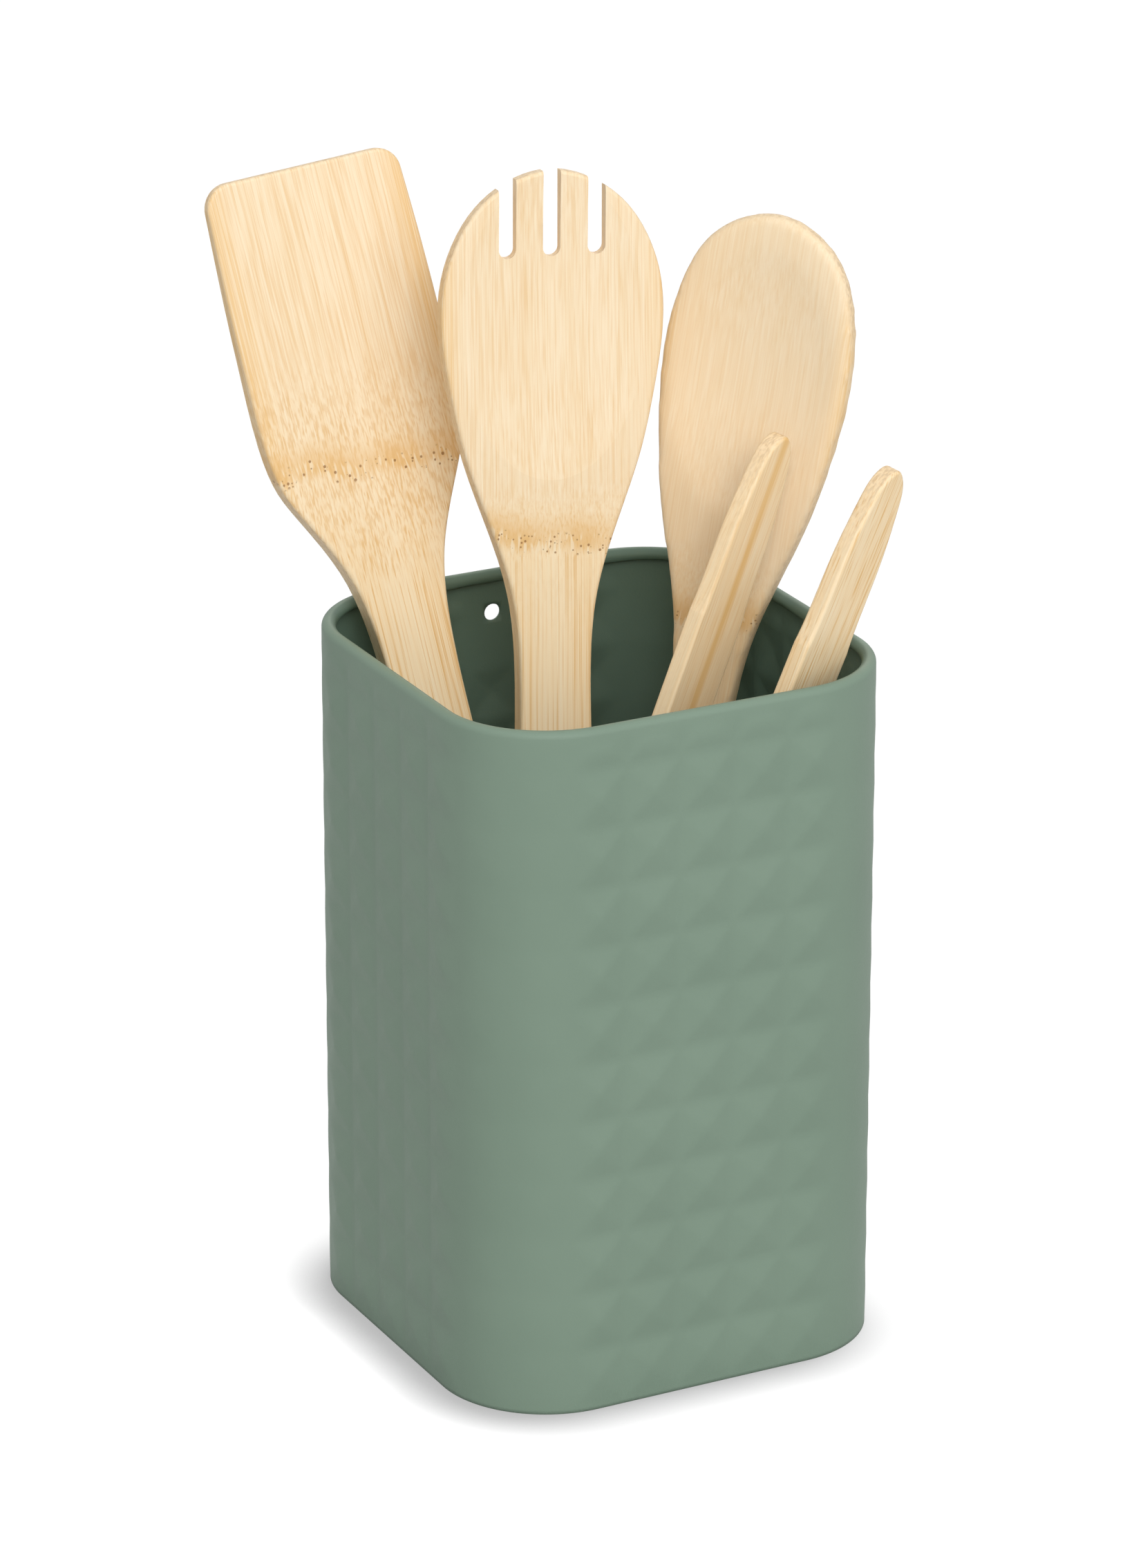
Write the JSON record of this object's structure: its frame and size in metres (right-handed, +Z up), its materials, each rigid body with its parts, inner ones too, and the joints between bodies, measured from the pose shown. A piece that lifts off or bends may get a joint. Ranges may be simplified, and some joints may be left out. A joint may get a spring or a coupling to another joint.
{
  "type": "utensil holder with bamboo utensils",
  "caption": "Tall square sheet-metal utensil holder with rounded corners and a pressed pyramid pattern, holding a bamboo turner, slotted spork, spoon and tongs that lift out.",
  "frame": {"origin": "centre of the holder's foot on the table", "axes": "+Z up; -Y is the wide front wall; +Y is the back wall with the hanging hole"},
  "size_m": [0.1366, 0.1179, 0.2769],
  "materials": {
    "green_coat": "matt grey-green powder coat",
    "bamboo": "sanded pale bamboo, lightly oiled"
  },
  "bodies": {
    "holder": {"crock_wall": "green_coat", "base_plate": "green_coat"},
    "turner_body": {"turner": "bamboo"},
    "spork_body": {"spork": "bamboo"},
    "spoon_body": {"spoon": "bamboo"},
    "tongs_root": {"tongs_block": "bamboo"},
    "tongs_front": {"tongs_front_arm": "bamboo"},
    "tongs_back": {"tongs_back_arm": "bamboo"}
  },
  "joints": [
    {"name": "turner_lift", "type": "slide", "parent": "holder", "child": "turner_body", "axis": [-0.1529, 0.2089, 0.9659], "range_m": [0, 0.185]},
    {"name": "spork_lift", "type": "slide", "parent": "holder", "child": "spork_body", "axis": [0.0443, 0.1023, 0.9938], "range_m": [0, 0.185]},
    {"name": "spoon_lift", "type": "slide", "parent": "holder", "child": "spoon_body", "axis": [0.1683, -0.0088, 0.9857], "range_m": [0, 0.185]},
    {"name": "tongs_lift", "type": "slide", "parent": "holder", "child": "tongs_root", "axis": [0, 0, 1], "range_m": [0, 0.18]},
    {"name": "front_arm_squeeze", "type": "hinge", "parent": "tongs_root", "child": "tongs_front", "pos_m": [-0.02286, -0.03125, 0.03143], "axis": [-0.8608, -0.361, 0.3588], "range_deg": [0, 3.9], "stiffness_Nm_per_rad": 4},
    {"name": "back_arm_squeeze", "type": "hinge", "parent": "tongs_root", "child": "tongs_back", "pos_m": [-0.02915, -0.01353, 0.03417], "axis": [0.8608, 0.361, -0.3588], "range_deg": [0, 3.9], "stiffness_Nm_per_rad": 4}
  ],
  "couplings": [
    {"joint": "back_arm_squeeze", "follows": "front_arm_squeeze", "ratio": 1}
  ]
}
